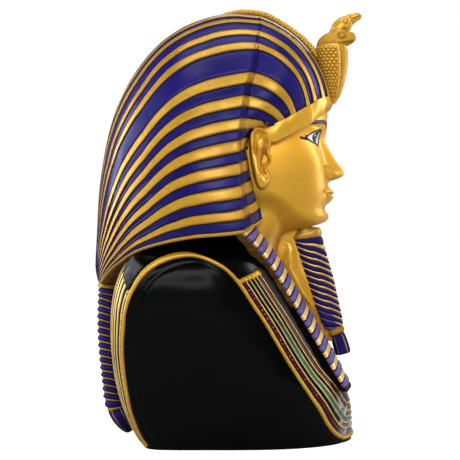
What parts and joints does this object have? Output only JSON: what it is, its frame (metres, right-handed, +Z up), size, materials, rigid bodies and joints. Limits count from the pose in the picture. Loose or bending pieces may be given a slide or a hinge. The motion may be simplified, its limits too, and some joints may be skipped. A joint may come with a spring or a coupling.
{
  "type": "pharaoh bust",
  "caption": "Painted cast-resin pharaoh bust with a striped headcloth, serpent and bird on the brow, plaited beard, broad collar and a flat base.",
  "frame": {"origin": "middle of the outline on the underside of the base", "axes": "+Z up, the figure faces -Y, its right side is -X"},
  "size_m": [0.1678, 0.1863, 0.2978],
  "materials": {
    "gold_paint": "antiqued satin gold paint on cast resin",
    "blue_paint": "glossy deep ultramarine enamel paint",
    "black_paint": "gloss black lacquer",
    "inlay_paint": "painted collar inlays in teal, dark red, silver grey and black"
  },
  "bodies": {
    "root": {"bust": "gold_paint"}
  },
  "joints": []
}
